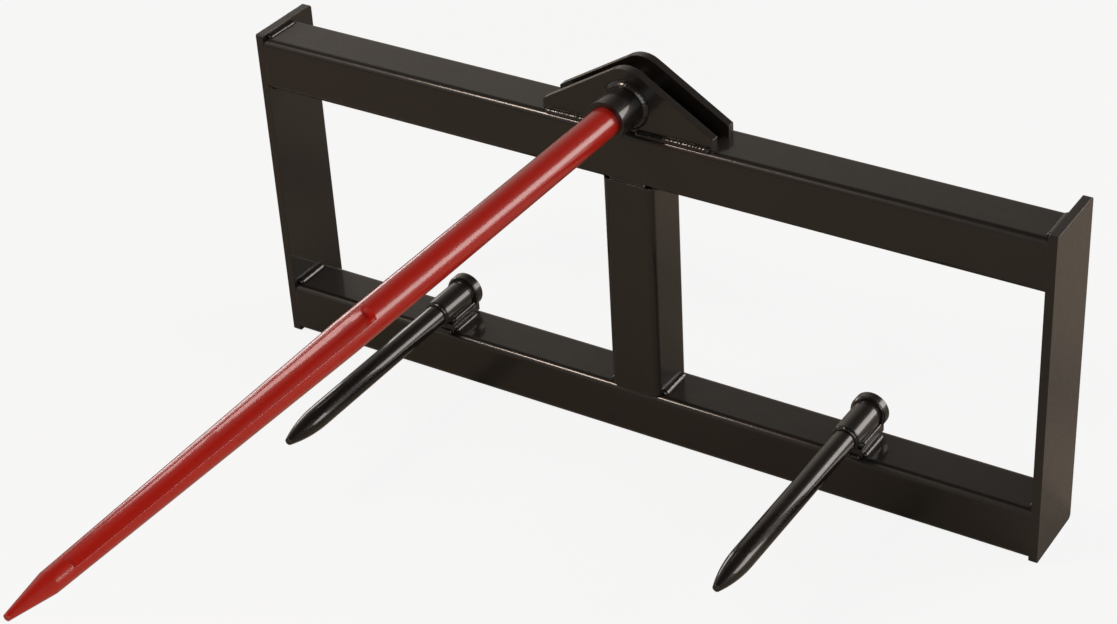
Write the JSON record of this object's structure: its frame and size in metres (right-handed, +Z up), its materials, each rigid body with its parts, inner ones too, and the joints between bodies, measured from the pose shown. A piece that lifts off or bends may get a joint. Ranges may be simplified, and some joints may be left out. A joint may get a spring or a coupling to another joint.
{
  "type": "bale spear",
  "caption": "Loader-mounted bale spear: black welded tube frame with a long red forged spear on top, short stabiliser spears below, and a coupler hook and latch shelf behind.",
  "frame": {"origin": "centre of the post's rear face, which lies in the plane the loader's coupler bears on, at half the tube frame's height", "axes": "+X to the right seen from the spear's side, +Y back towards the loader, +Z up; the spears point along -Y"},
  "size_m": [1.194, 1.2702, 0.5707],
  "materials": {
    "frame_paint": "gloss black paint over welded steel",
    "spear_paint": "gloss red paint over forged steel",
    "zinc_steel": "zinc plated"
  },
  "bodies": {
    "root": {"top_tube": "frame_paint", "bottom_tube": "frame_paint", "centre_post": "frame_paint", "end_plate_left": "frame_paint", "end_plate_right": "frame_paint", "coupler_hook_bar": "frame_paint", "coupler_latch_shelf": "frame_paint", "bracket_plate_front": "frame_paint", "bracket_plate_rear": "frame_paint", "spear_sleeve": "frame_paint", "stabiliser_saddle_left": "frame_paint", "stabiliser_sleeve_left": "frame_paint", "stabiliser_lug_left": "frame_paint", "stabiliser_spear_left": "frame_paint", "stabiliser_saddle_right": "frame_paint", "stabiliser_sleeve_right": "frame_paint", "stabiliser_lug_right": "frame_paint", "stabiliser_spear_right": "frame_paint", "weld_bracket_front": "frame_paint", "weld_bracket_rear_left": "frame_paint", "weld_bracket_rear_right": "frame_paint", "weld_plate_left_bottom": "frame_paint", "weld_plate_left_top": "frame_paint", "weld_plate_left_window_bottom": "frame_paint", "weld_plate_left_window_top": "frame_paint", "weld_plate_right_bottom": "frame_paint", "weld_plate_right_top": "frame_paint", "weld_plate_right_window_bottom": "frame_paint", "weld_plate_right_window_top": "frame_paint", "weld_post_bottom_front": "frame_paint", "weld_post_bottom_left": "frame_paint", "weld_post_bottom_right": "frame_paint", "weld_post_top_front": "frame_paint", "weld_post_top_left": "frame_paint", "weld_post_top_right": "frame_paint", "weld_saddle_left_inner": "frame_paint", "weld_saddle_left_outer": "frame_paint", "weld_saddle_right_inner": "frame_paint", "weld_saddle_right_outer": "frame_paint", "main_spear": "spear_paint", "spear_nut": "zinc_steel"}
  },
  "joints": []
}
